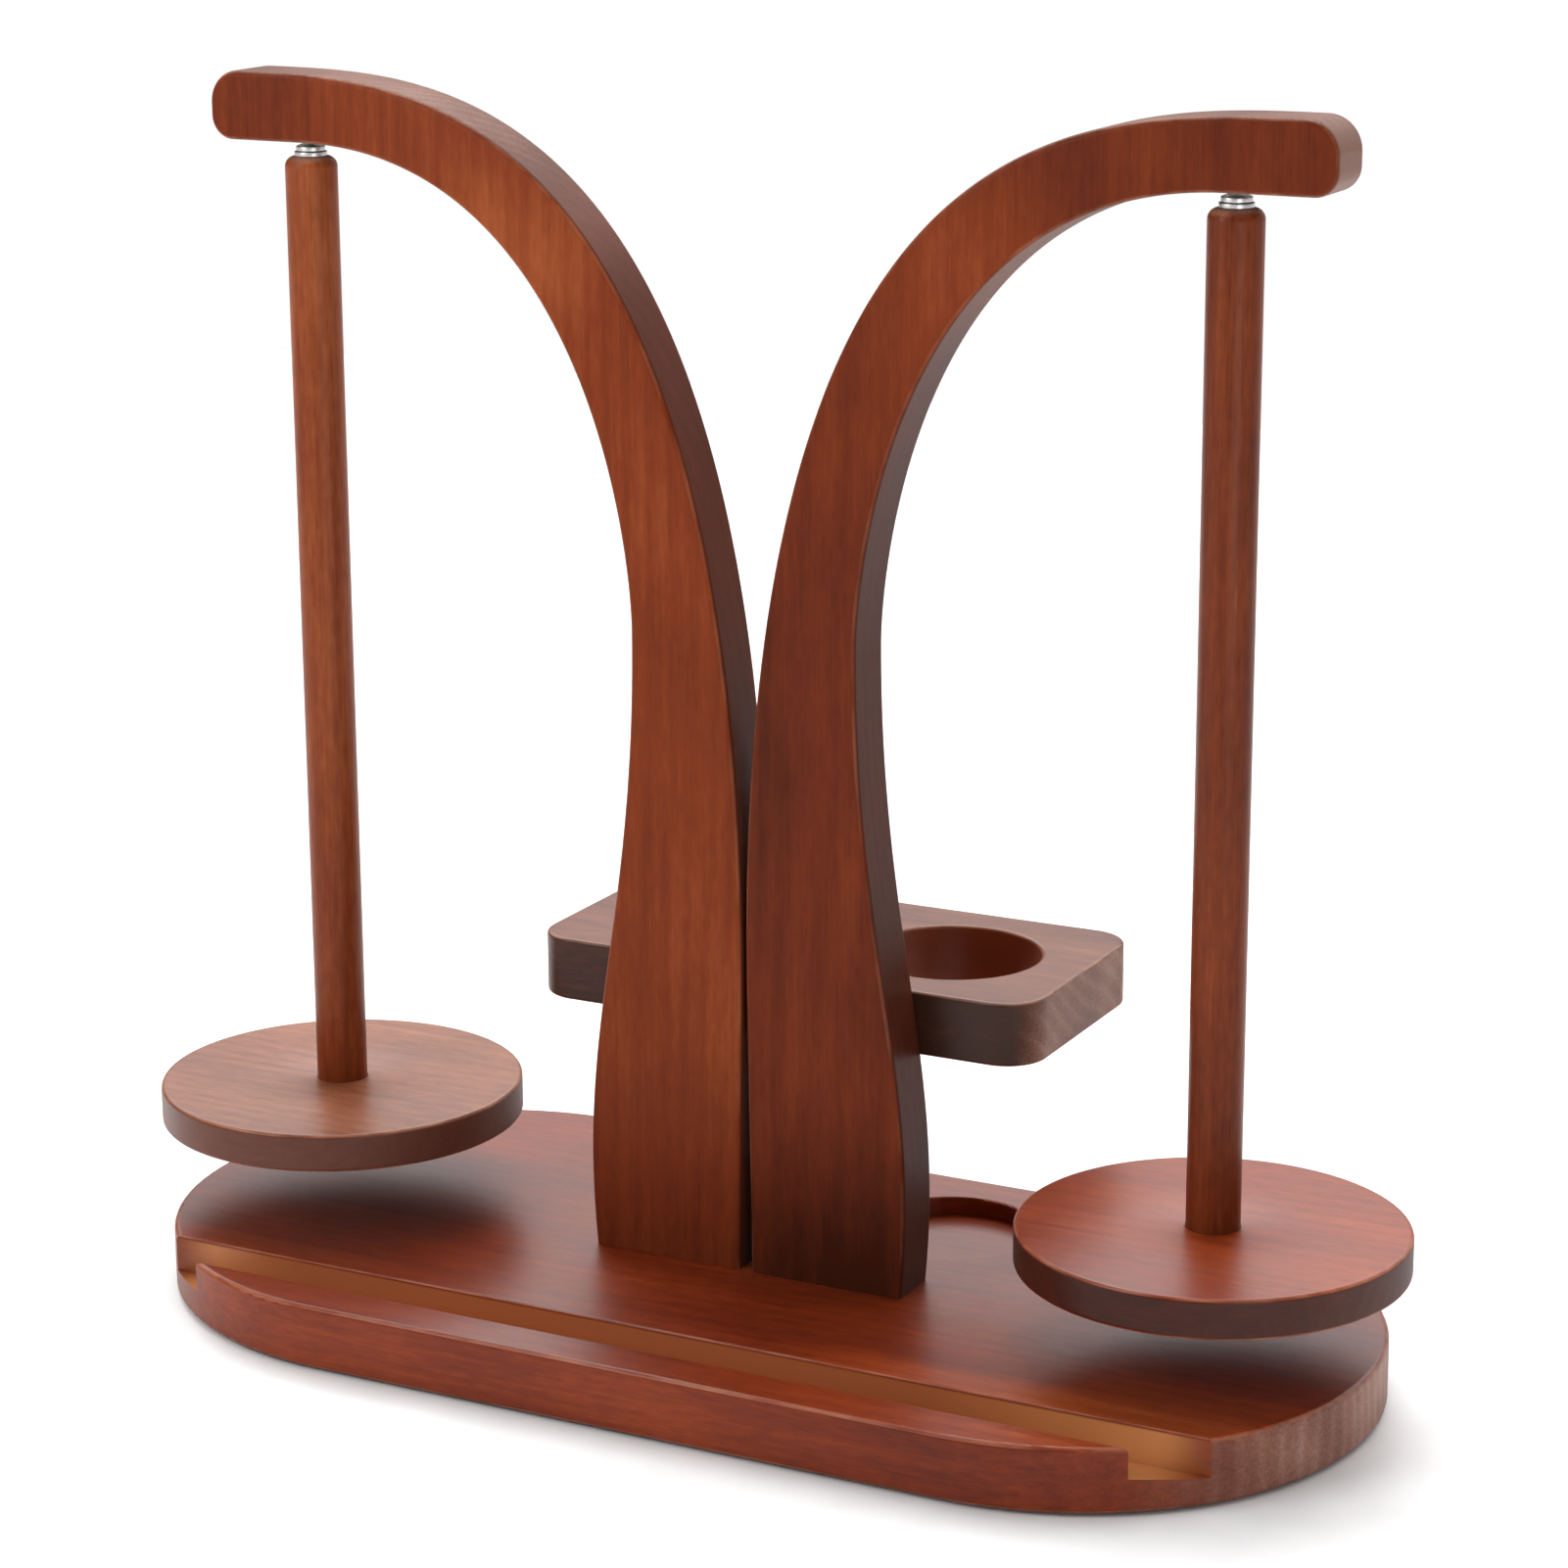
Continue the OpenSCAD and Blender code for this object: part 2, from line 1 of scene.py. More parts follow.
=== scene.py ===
"""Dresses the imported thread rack: smooth curved arms, turned discs, rods and swivel parts, threaded
screws, fluted dowels, domed pads, stained wood, steel and rubber finishes, a pale floor, soft
studio light and the photograph's camera. Pieces are worked out in millimetres and placed in
metres; the finishes work in metres throughout."""

import math

import bmesh
import bpy
import numpy as np
from mathutils import Matrix, Vector


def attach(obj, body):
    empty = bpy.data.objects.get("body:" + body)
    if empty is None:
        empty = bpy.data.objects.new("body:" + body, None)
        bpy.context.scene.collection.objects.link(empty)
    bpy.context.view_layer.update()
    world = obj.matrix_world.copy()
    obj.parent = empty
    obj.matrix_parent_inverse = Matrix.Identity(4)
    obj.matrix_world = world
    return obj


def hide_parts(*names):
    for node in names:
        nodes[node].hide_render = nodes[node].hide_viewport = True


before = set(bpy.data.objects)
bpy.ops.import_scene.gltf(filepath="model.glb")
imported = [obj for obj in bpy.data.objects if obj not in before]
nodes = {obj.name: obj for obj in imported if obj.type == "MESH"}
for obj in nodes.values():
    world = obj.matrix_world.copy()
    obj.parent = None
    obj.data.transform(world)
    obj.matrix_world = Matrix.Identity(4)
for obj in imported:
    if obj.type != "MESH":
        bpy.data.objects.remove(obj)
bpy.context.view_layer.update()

MM = 0.001
SIDES = {"left": -1, "right": 1}
LETTERS = "xyz"
SHARP = math.radians(38)  # an edge that turns by more than this stays sharp


# ---------------------------------------------------------------- lines and surfaces

def cubic(a, b, c, d, steps):
    """Points of the cubic curve from a to d that leaves a towards b and reaches d from c,
    without its last point: the sum of the four points weighted by the cubic Bernstein shares."""
    t = np.arange(steps)[:, None] / steps
    return ((1 - t) ** 3 * np.array(a) + 3 * (1 - t) ** 2 * t * np.array(b)
            + 3 * (1 - t) * t ** 2 * np.array(c) + t ** 3 * np.array(d))


def line(a, b, steps):
    """Points on the straight line from a to b, without the last."""
    t = np.arange(steps)[:, None] / steps
    return (1 - t) * np.array(a) + t * np.array(b)


def arc(centre, radius, start, turn, steps):
    """Points on a circle: centre + radius * (cos, sin) of an angle that goes from start by turn."""
    a = np.radians(start + turn * np.linspace(0, 1, steps + 1))
    return np.array(centre) + radius * np.stack([np.cos(a), np.sin(a)], -1)


def between(a, b, shares):
    """Rows of points from a to b at the given shares of the way."""
    s = np.array(shares)[:, None, None]
    return (1 - s) * a[None] + s * b[None]


def ramp(value, low, high):
    """0 up to low, 1 from high, straight between them."""
    return np.clip((value - low) / (high - low), 0, 1)


def smooth(mesh):
    """Smooth shading, with the sharp edges kept."""
    mesh.shade_smooth()
    mesh.set_sharp_from_angle(angle=SHARP)


def mesh_from_grids(name, grids):
    """One closed mesh from grids of points in millimetres, each m by n by 3: the cells of every
    grid become faces, points that coincide become one, and cells with no width are dropped."""
    points = np.concatenate([g.reshape(-1, 3) for g in grids]) * MM
    cells, start = [], 0
    for g in grids:
        m, n = g.shape[:2]
        i = start + np.arange(m * n).reshape(m, n)
        cells.append(np.stack([i[:-1, :-1], i[1:, :-1], i[1:, 1:], i[:-1, 1:]], -1).reshape(-1, 4))
        start += m * n
    _, first, same = np.unique(np.round(points, 7), axis=0, return_index=True, return_inverse=True)
    quads = same.reshape(-1)[np.concatenate(cells)]
    steps = quads != np.roll(quads, 1, 1)
    whole = quads[steps.sum(1) == 4]
    thin, keep = quads[steps.sum(1) == 3], steps[steps.sum(1) == 3]
    faces = whole.tolist() + thin[keep].reshape(-1, 3).tolist()
    mesh = bpy.data.meshes.new(name)
    mesh.from_pydata(points[first].tolist(), [], faces)
    shell = bmesh.new()
    shell.from_mesh(mesh)
    bmesh.ops.recalc_face_normals(shell, faces=shell.faces)
    shell.to_mesh(mesh)
    shell.free()
    smooth(mesh)
    piece = bpy.data.objects.new(name, mesh)
    bpy.context.scene.collection.objects.link(piece)
    return piece


def lying(grids):
    """Grids on the z axis laid along the y axis."""
    return [g[..., [0, 2, 1]] for g in grids]


def joined_grids(*groups):
    """The grids of several solids as one list."""
    return [g for group in groups for g in group]


def moved(grids, offset):
    """The grids moved by offset."""
    return [g + np.array(offset) for g in grids]


def turned(profile, steps=64):
    """A lathe shape round the z axis: each (r, z) of the profile carried round by the angle."""
    angle = np.linspace(0, 2 * np.pi, steps + 1)
    angle[-1] = 0
    r, z = np.array(profile, float).T
    return [np.stack([r[:, None] * np.cos(angle), r[:, None] * np.sin(angle),
                      np.broadcast_to(z[:, None], (len(r), steps + 1))], -1)]


def eased(profile, ease):
    """A lathe profile whose corners are rounded. Each corner gives way to the curve
    (1 - t)^2 * a + 2 * t * (1 - t) * corner + t^2 * b between the points a and b that lie ease
    before and after it, or a third of the way where a step is short. The ends stay."""
    p = np.array(profile, float)
    t = np.linspace(0, 1, 5)[:, None]
    parts = [p[:1]]
    for before, corner, after in zip(p, p[1:], p[2:]):
        a, b = (corner + (q - corner) * min(ease / np.linalg.norm(q - corner), 0.33)
                for q in (before, after))
        parts.append((1 - t) ** 2 * a + 2 * t * (1 - t) * corner + t ** 2 * b)
    return np.concatenate([*parts, p[-1:]])


def drill(piece, grids):
    """Cuts the closed shapes of the grids out of a piece."""
    bit = mesh_from_grids("drill_bit", grids)
    cut = piece.modifiers.new("holes", "BOOLEAN")
    cut.operation, cut.solver, cut.object = "DIFFERENCE", "EXACT", bit
    bpy.context.view_layer.update()
    whole = piece.data
    piece.data = bpy.data.meshes.new_from_object(
        piece.evaluated_get(bpy.context.evaluated_depsgraph_get()))
    piece.modifiers.clear()
    piece.data.name = piece.name
    smooth(piece.data)
    bpy.data.meshes.remove(whole)
    bpy.data.meshes.remove(bit.data)


# ---------------------------------------------------------------- sizes in mm, as packed

BASE_BOTTOM, BASE_TOP = 1, 19
ARM_T, ARM_UNDER, ARM_ROUND = 18, 325, 1.5
SPINDLE = (136, -2.5)           # x and y of the right spindle's line
ARM_SCREW = (5, 50, 2.2)        # diameter, length and pitch
DISC_SCREW = (4, 30, 1.8)
MAGNET_SCREW = (2.5, 10, 1.1)
ARM_DOWEL, SHELF_DOWEL = (8, 30), (6, 20)  # diameter and length
PAD = (14, 2)                   # diameter and thickness
ARM_SCREW_X = 24.7
ARM_DOWEL_X, ARM_DOWEL_MIDDLE = (11.7, 37.7), 22
SHELF_DOWEL_X, SHELF_DOWEL_MIDDLE, SHELF_DOWEL_Z = (9, 31), 9, 92.6
DISC_BOTTOM, MAGNET_SCREW_Z, CUP_TOP, CUP_RADIUS = 42.8, 328.55, 330.725, 4
PAD_AT = (94.5, 65.5)
GAP = 0.05                      # air round a part in its hole
PAST = 1                        # how much deeper a dowel's or screw's hole is


# ---------------------------------------------------------------- arms

def arm_edges(fine):
    """The right arm's back and front edges from the foot to the tip, x from the centre line and z
    above the base. Both have as many points, so that each point has one opposite."""
    back = np.concatenate([
        line((1.8, 0), (0.6, 89), 10 * fine),
        cubic((0.6, 89), (0.6, 322.64), (95.35, 325), (151, 325), 19 * fine),
        line((151, 325), (155.5, 325), fine),
        arc((155.5, 316), 9, 90, -90, 5 * fine)])
    front = np.concatenate([
        cubic((47.6, 0), (48.2, 6.25), (48.8, 15), (48.8, 25), 3 * fine),
        cubic((48.8, 25), (48.8, 74.28), (33.8, 108.16), (33.8, 179), 10 * fine),
        cubic((33.8, 179), (33.8, 200.59), (44.99, 306), (135.5, 306), 16 * fine),
        line((135.5, 306), (158, 306), fine),
        arc((158, 312.5), 6.5, -90, 90, 5 * fine)])
    return back, front


def eased_edge(edge, turn, thick, radius, steps):
    """An edge of a flat board carried across its thickness: at angle a of the quarter round the
    point moves in from the edge by radius * (1 - sin a), along the edge's normal, and lies
    radius * (1 - cos a) behind the face. turn is 1 where the wood is to the right of the edge."""
    way = np.gradient(edge, axis=0)
    way /= np.linalg.norm(way, axis=1, keepdims=True)
    normal = turn * np.stack([way[:, 1], -way[:, 0]], -1)
    a = np.linspace(0, np.pi / 2, steps + 1)
    inset = np.append(radius * (1 - np.sin(a)), 0)
    depth = np.append(radius * (1 - np.cos(a)), radius * 1.15) - thick / 2
    inset = np.concatenate([inset, inset[::-1]])
    depth = np.concatenate([depth, -depth[::-1]])
    flat = edge[:, None, :] + inset[None, :, None] * normal[:, None, :]
    return np.stack([flat[..., 0], np.broadcast_to(depth, flat.shape[:2]), flat[..., 1]], -1)


def arm(name, side, fine=5):
    """A curved arm as the skin of a bent block: the two long edges, each carried round its eased
    corners, and between them the front, the back, the foot and the tip's end as straight rows."""
    back, front = arm_edges(fine)
    inner = eased_edge(back, 1, ARM_T, ARM_ROUND, 6)
    outer = eased_edge(front, -1, ARM_T, ARM_ROUND, 6)
    shares = [0, 0.02, 0.25, 0.5, 0.75, 0.98, 1]
    grids = [inner, outer,
             between(inner[:, 0], outer[:, 0], shares), between(inner[:, -1], outer[:, -1], shares),
             between(inner[0], outer[0], shares), between(inner[-1], outer[-1], shares)]
    piece = mesh_from_grids(name, [(g + [0, 0, BASE_TOP]) * [side, 1, 1] for g in grids])
    drill(piece, arm_holes(side))
    return piece


def bored(diameter, start, stop, point=0):
    """A drilled hole along z with air round a part of that diameter, its last bit a point."""
    r = diameter / 2 + GAP
    return turned([(0, start), (r, start), (r, stop - point), (0, stop)])


def arm_holes(side):
    """The holes of one arm: for its screw and two dowels up from the foot, for the shelf's dowels
    in from the back, and for the magnet's cup and screw up from under the tip. The open end of
    each reaches a few millimetres out of the arm."""
    below, behind, under_tip = BASE_TOP - 4, ARM_T / 2 + 3, ARM_UNDER - 5
    screw = moved(bored(ARM_SCREW[0], below, BASE_BOTTOM + ARM_SCREW[1] + GAP, ARM_SCREW[0]),
                  (side * ARM_SCREW_X, 0, 0))
    peg = bored(ARM_DOWEL[0], below, ARM_DOWEL_MIDDLE + ARM_DOWEL[1] / 2 + PAST)
    pegs = [moved(peg, (side * x, 0, 0)) for x in ARM_DOWEL_X]
    cross_peg = lying(bored(
        SHELF_DOWEL[0], SHELF_DOWEL_MIDDLE - SHELF_DOWEL[1] / 2 - PAST, behind))
    cross_pegs = [moved(cross_peg, (side * x, 0, SHELF_DOWEL_Z)) for x in SHELF_DOWEL_X]
    wide, narrow = CUP_RADIUS + GAP, MAGNET_SCREW[0] / 2 + GAP
    shoulder, end = CUP_TOP + GAP, MAGNET_SCREW_Z + MAGNET_SCREW[1] + PAST
    cup = moved(turned([(0, under_tip), (wide, under_tip), (wide, shoulder), (narrow, shoulder),
                        (narrow, end), (0, end)]), (side * SPINDLE[0], SPINDLE[1], 0))
    return joined_grids(screw, *pegs, *cross_pegs, cup)


# ---------------------------------------------------------------- screws, dowels, pads

def cross_head(width):
    """A round screw face in the plane z = 0 with a cross recess in it. A square of points (a, b)
    from -1 to 1 is drawn to a disc by x = a * sqrt(1 - b*b/2), y = b * sqrt(1 - a*a/2), and every
    point sinks by the recess's depth where it lies in one of the two arms of the cross."""
    fine = np.linspace(-1, 1, 29)
    walls = np.array([-0.68, -0.16, -0.10, 0.10, 0.16, 0.68])
    ticks = np.unique(np.round(np.concatenate([fine, walls]), 4))
    a, b = np.meshgrid(ticks, ticks, indexing="ij")
    x, y = a * np.sqrt(1 - b * b / 2), b * np.sqrt(1 - a * a / 2)
    arms = [ramp(-abs(q), -0.16, -0.10) * ramp(-abs(p), -0.68, -0.22) for p, q in ((a, b), (b, a))]
    depth = 0.30 * width * np.maximum(*arms)
    return np.stack([x * width / 2, y * width / 2, depth], -1)


def rim_of(grid):
    """The points round a square grid's border, from one corner round and back to it."""
    return np.concatenate([grid[:-1, 0], grid[-1, :-1], grid[:0:-1, -1], grid[0, ::-1]])


def wood_screw(d, length, pitch):
    """A countersunk wood screw with its face on z = 0 and its point up. Behind the head the radius
    is root + (crest - root) * tooth, where tooth is a pointed wave of z / pitch - angle / turn,
    so that it runs round as a thread, and both radii shrink to nothing at the point."""
    head = 2 * d
    face = cross_head(head)
    rim = rim_of(face)
    angle = np.arctan2(rim[:, 1], rim[:, 0])
    crest, root, neck = d / 2, 0.36 * d, 0.55 * d
    plain = length * 0.3
    z = np.concatenate([[0, 0.1 * d], np.linspace(neck, plain, 6),
                        np.linspace(plain, length, int((length - plain) / pitch * 9))[1:]])
    zz, turn = z[:, None], angle[None, :] / (2 * np.pi)
    wave = (zz / pitch - turn) % 1
    tooth = np.clip(1.25 - np.abs(wave - 0.5) * 4, 0, 1)
    started = ramp(zz, plain, plain + 1.5 * pitch)
    radius = crest + (root + (crest - root) * tooth - crest) * started
    radius = radius * ramp(-zz, -length, -length + d)
    cone = head / 2 + (crest - head / 2) * ramp(zz, 0.1 * d, neck)
    radius = np.where(zz < neck, cone, radius)
    body = np.stack([radius * np.cos(angle), radius * np.sin(angle),
                     np.broadcast_to(zz, radius.shape)], -1)
    body[0] = rim
    return [face, body]


def fluted_dowel(d, length, flutes=18, depth=0.22):
    """A dowel pin on the z axis from -length/2 to length/2, with bevelled ends and small grooves
    along it: the radius is d/2 less depth times a cosine of flutes times the angle."""
    angle = np.linspace(0, 2 * np.pi, flutes * 8 + 1)
    angle[-1] = 0
    bevel = d / 8
    z = np.array([0, 0, bevel, length / 4, length / 2, length * 3 / 4, length - bevel,
                  length, length])
    rise = np.array([0, d / 2 - bevel, d / 2, d / 2, d / 2, d / 2, d / 2, d / 2 - bevel, 0])
    groove = depth * (0.5 - 0.5 * np.cos(angle * flutes))
    radius = rise[:, None] * (1 - groove[None, :] / (d / 2))
    return [np.stack([radius * np.cos(angle), radius * np.sin(angle),
                      np.broadcast_to(z[:, None] - length / 2, radius.shape)], -1)]


def round_end(centre, radius, start, turn):
    """A quarter or half circle of a lathe profile as a list of (r, z)."""
    return [tuple(p) for p in arc(centre, radius, start, turn, 10)]


# Lathe profiles as (r, z), each as packed, with its small corners still to be eased
ROD = [(0, 72.85), (2.05, 68.85), (2.05, 49.8), (7.25, 49.8), *round_end((4.25, 318.1), 3, 0, 90),
       (3.55, 321.1), (3.55, 313.1), (2.7, 313.1), (2.7, 310.4), (0, 310.4)]
DISC = [(2.05, 48), (2.05, 49.8), (7.3, 49.8), (7.3, 53.8), (30, 53.8),
        *round_end((51.3, 52.6), 1.2, 90, -90), *round_end((51.3, 44), 1.2, 0, -90),
        (30, 42.8), (4.05, 42.8), (4.05, 43.2), (2.05, 45), (2.05, 48)]
MAGNET_CUP = [(3.3, 327), (3.3, 325), (4, 325), (4, 330.725), (1.3, 330.725), (1.3, 329.925),
              (3.3, 329.925), (3.3, 327)]
MAGNET = [(0, 325.35), (3.25, 325.35), (3.25, 328.35), (0, 328.35)]
BALL = round_end((0, 324.1), 1.2, -90, 180)
STUD = [(0, 311.4), (2.5, 311.4), (2.5, 312.9), (1.5, 312.9), (1.5, 322.5), (4, 322.5), (4, 323.7),
        (2.6, 324.3), (1.244, 324.3), *round_end((0, 324.1), 1.26, 0, -90)]
SLEEVE = [(1.56, 317), (1.56, 313.1), (3.5, 313.1), (3.5, 321.1), (4.5, 321.1), (4.5, 322.3),
          (1.56, 322.3), (1.56, 317)]


def foot_pad(d, thick):
    """A soft pad on z = 0: a rounded lower edge and a face that rises by a ripple of fine rings."""
    soft, ripple, ring_step = 0.7, 0.06, 1.1
    r = np.linspace(0, d / 2 - soft, 40)
    face = np.stack([r, ripple - ripple * np.cos(r * 2 * np.pi / ring_step)], -1)
    face[-1, 1] = 0.05
    edge = arc((d / 2 - soft, 0.75), soft, -90, 90, 6)
    top = [(d / 2, thick), (0, thick)]
    return turned(np.concatenate([face, edge, top]))


# ---------------------------------------------------------------- finishes

class Wire:
    """A node's output that can be used in sums: each operator adds a Math node."""

    def __init__(self, finish, socket):
        self.finish, self.socket = finish, socket

    def math(self, operation, *others):
        """A Math node of that operation on this value and the others."""
        inputs = dict(enumerate((self, *others)))
        return self.finish.node("ShaderNodeMath", {"operation": operation}, inputs)

    def __add__(self, other):
        return self.math("ADD", other)

    def __radd__(self, other):
        return self.math("ADD", other)

    def __mul__(self, other):
        return self.math("MULTIPLY", other)

    def __rmul__(self, other):
        return self.math("MULTIPLY", other)

    def __sub__(self, other):
        return self.math("SUBTRACT", other)

    def __rsub__(self, other):
        return (self * -1).math("ADD", other)

    def __pow__(self, other):
        return self.math("POWER", other)

    def __abs__(self):
        return self.math("ABSOLUTE")

    def above(self, low, high):
        """0 up to low, 1 from high, a smooth step between them."""
        inputs = {"Value": self, "From Min": low, "From Max": high}
        return self.finish.node(
            "ShaderNodeMapRange", {"interpolation_type": "SMOOTHSTEP"}, inputs)


class Finish:
    """The nodes of a material or of the world's light, under construction."""

    def __init__(self, owner):
        self.owner = owner
        owner.use_nodes = True
        self.tree = owner.node_tree
        self.tree.nodes.clear()

    def node(self, kind, settings=None, inputs=None, out=0):
        """Adds a node of that kind, sets its settings, then its sockets' values or links."""
        made = self.tree.nodes.new(kind)
        for key, value in (settings or {}).items():
            if key == "stops":
                stops = made.color_ramp.elements
                while len(stops) < len(value):
                    stops.new(0.5)
                for stop, (place, colour) in zip(stops, value):
                    stop.position, stop.color = place, (*colour, 1)
            else:
                setattr(made, key, value)
        for key, value in (inputs or {}).items():
            if isinstance(value, Wire):
                self.tree.links.new(value.socket, made.inputs[key])
            else:
                made.inputs[key].default_value = value
        return Wire(self, made.outputs[out]) if len(made.outputs) else None

    def blend(self, share, a, b):
        """Colour a where share is 0, b where it is 1."""
        return self.node("ShaderNodeMix", {"data_type": "RGBA"}, {0: share, 6: a, 7: b}, out=2)

    def parts(self, output):
        """The x, y and z of one of the texture coordinates."""
        vector = self.node("ShaderNodeTexCoord", out=output)
        return [self.node("ShaderNodeSeparateXYZ", None, {0: vector}, out=i) for i in range(3)]

    def done(self, surface, kind="ShaderNodeOutputMaterial"):
        """Joins the surface to the output and gives back the material or world."""
        self.node(kind, None, {"Surface": surface})
        return self.owner


def rgb(red, green, blue):
    """Screen values from 0 to 255 as the linear colour that a shader takes."""
    c = np.array([red, green, blue]) / 255
    c = np.where(c <= 0.04045, c / 12.92, ((c + 0.055) / 1.055) ** 2.4)
    return tuple(float(x) for x in c)


# Stains, from a wood's darkest tone at 0 to its lightest at 1
RED_BROWN = [(0.00, rgb(56, 21, 12)), (0.24, rgb(93, 31, 11)), (0.44, rgb(115, 42, 13)),
             (0.58, rgb(131, 52, 17)), (0.80, rgb(154, 70, 28)), (1.00, rgb(176, 92, 46))]
ROD_BROWN = [(0.00, rgb(46, 23, 15)), (0.24, rgb(93, 39, 19)), (0.44, rgb(115, 52, 25)),
             (0.58, rgb(131, 65, 33)), (0.80, rgb(154, 86, 48)), (1.00, rgb(176, 108, 68))]
ARM_BROWN = [(0.00, rgb(60, 25, 14)), (0.24, rgb(94, 38, 19)), (0.44, rgb(116, 50, 24)),
             (0.58, rgb(133, 64, 33)), (0.80, rgb(156, 82, 46)), (1.00, rgb(177, 103, 64))]
DULL_BROWN = [(0.00, rgb(52, 27, 18)), (0.24, rgb(84, 42, 26)), (0.44, rgb(104, 56, 36)),
              (0.58, rgb(120, 70, 46)), (0.80, rgb(140, 88, 60)), (1.00, rgb(162, 110, 80))]
END_BROWN = [(0.25, rgb(104, 70, 58)), (0.50, rgb(138, 101, 87)), (0.75, rgb(166, 134, 121))]
PALE = [(0.3, rgb(176, 137, 92)), (0.5, rgb(205, 168, 120)), (0.7, rgb(224, 192, 148))]


def wood(name, grain, face, seed, pith, tones=RED_BROWN, ends=END_BROWN, shade=0.0, ring_width=4.2,
         end_share=0.75, wear_and_highlight=0.4, rough=0.34, ior=1.3, figure=1.0, painted_shading=None, paint=None):
    """Stained and lacquered wood. The pattern fills space, so faces, edges and end grain agree.
    Growth rings are the distance from a pith line beside the piece, in ring widths, bent by slow
    noise; fibres, streaks and flecks are noise drawn out along the grain; the stain takes in soft
    patches. A side that looks along the grain has the greyer end-grain colours, and where an edge is
    rounded over, between the flat face and the sides, a paler colour stands partly for stain worn
    thin and partly for a painted highlight. figure is how strongly the fibres and streaks show, the
    function for painted light and shade gives how much lighter or darker the colour is painted at a
    place, and paint may change the colour."""
    f = Finish(bpy.data.materials.new(name))
    place, normal = f.parts("Object"), f.parts("Normal")
    order = {"x": (0, 1, 2), "z": (2, 0, 1), "y": (1, 0, 2)}[grain]
    along, across, through = (place[i] for i in order)

    def drawn(width, length, detail=2.0, shift=0.0, roughness=0.5):
        """Noise with features of that width across and length along the grain, in mm."""
        at = f.node("ShaderNodeCombineXYZ", None, {
            0: across * (1000 / width) + seed * 3.1 + shift,
            1: through * (1000 / width) + seed * 1.7,
            2: along * (1000 / length) + shift * 2.3})
        return f.node("ShaderNodeTexNoise", None, {
            "Vector": at, "Scale": 1.0, "Detail": detail, "Roughness": roughness})

    bend = drawn(46, 240, 1.0, 5)
    radius = ((across - pith[0]) ** 2 + (through - pith[1]) ** 2) ** 0.5
    turns = radius * (1000 / ring_width) + along * 6.0 + bend * 3.0
    ring = ((turns * (2 * math.pi)).math("SINE") * 0.5 + 0.5) ** 1.8
    fibre = drawn(0.55, 24, 3.0, 11, 0.62)
    streak = drawn(3.0, 160, 2.0, 17)
    patch = drawn(30, 80, 2.0, 23)
    mottle = drawn(1.6, 6, 2.0, 29)
    fleck = drawn(0.5, 3.4, 1.0, 31).above(0.62, 0.74)
    end = abs(normal[LETTERS.index(grain)]).above(0.5, 0.95)
    flat = abs(normal[LETTERS.index(face)])
    rounded = flat.above(0.3, 0.62) * (1 - flat.above(0.82, 0.97))

    lines = (streak - 0.5) * 0.28 + (fibre - 0.5) * 0.34 + (mottle - 0.5) * 0.30
    tone = (patch - 0.5) * 0.56 + lines * figure - ring * 0.05 + (0.525 + shade)
    # Painted light and shade: the colour is made lighter or darker at a place for light that falls
    # there
    if painted_shading:
        tone = tone + painted_shading(place, normal)
    colour = f.node("ShaderNodeValToRGB", {"stops": tones}, {"Fac": tone})
    colour = f.blend(fleck * 0.16, colour, (*tones[0][1], 1))
    speck = drawn(0.8, 40, 3.0, 41, 0.6)
    end_colour = f.node("ShaderNodeValToRGB", {"stops": ends}, {
        "Fac": (speck - 0.5) * 0.6 + (patch - 0.5) * 1.1 + ring * 0.12 + 0.42})
    colour = f.blend(end * end_share, colour, end_colour)
    if paint:
        colour = paint(f, colour, place, normal)
    # Rounded edges turn paler: partly stain worn thin, partly a painted highlight along the edge
    colour = f.blend(rounded * drawn(7, 20, 2.0, 47).above(0.3, 0.7) * wear_and_highlight, colour,
                     (*rgb(182, 122, 92), 1))
    bumps = f.node("ShaderNodeBump", None, {
        "Strength": 0.3, "Distance": 0.0001,
        "Height": fibre * 0.6 - fleck * 0.5 + ring * 0.12 + mottle * 0.3})
    return f.done(f.node("ShaderNodeBsdfPrincipled", None, {
        "Base Color": colour, "Normal": bumps, "IOR": ior,
        "Roughness": (fibre - 0.5) * 0.12 + (patch - 0.5) * 0.12 + end * 0.16 + rough}))


def upright(normal):
    """1 on the sides of a flat piece, 0 on its top and underside."""
    return 1 - abs(normal[2]).above(0.2, 0.6)


def arm_side(normal):
    """1 on an arm's curved sides, 0 on its flat front and back."""
    return 1 - abs(normal[1]).above(0.25, 0.7)


def arm_painted_shading(place, normal):
    """Painted light and shade on an arm. Its curved sides are painted darker, partly a darker stain
    on the sawn faces and partly painted shade, and its foot is painted darker still, painted shade
    where the base keeps the light off. The bow is painted lighter, painted light from above, and the
    left arm is a little lighter below its bow and the right arm off its waist."""
    x, z = place[0], place[2]
    foot = 1 - z.above(0.018, 0.085)
    bow = 1 - (((abs(x) - 0.066) ** 2 + (z - 0.304) ** 2) ** 0.5).above(0.006, 0.035)
    right = x.above(-0.01, 0.01)
    waist = z.above(0.13, 0.17) * (1 - z.above(0.21, 0.26))
    return (arm_side(normal) * -0.20 - foot * 0.24 + bow * (0.3 - right * 0.15)
            - right * waist * 0.10 - (1 - right) * z.above(0.20, 0.27) * 0.09)


def painted_arm_sides(f, colour, place, normal):
    """Those sides are also painted greyer, partly stain and partly painted shade, and the tip's end
    is painted palest, painted light where the light from the right falls on it.
    """
    side = arm_side(normal)
    colour = f.blend(side * 0.45, colour, (*rgb(78, 42, 30), 1))
    tip = abs(place[0]).above(0.158, 0.164) * side
    return f.blend(tip * 0.6, colour, (*rgb(150, 116, 104), 1))


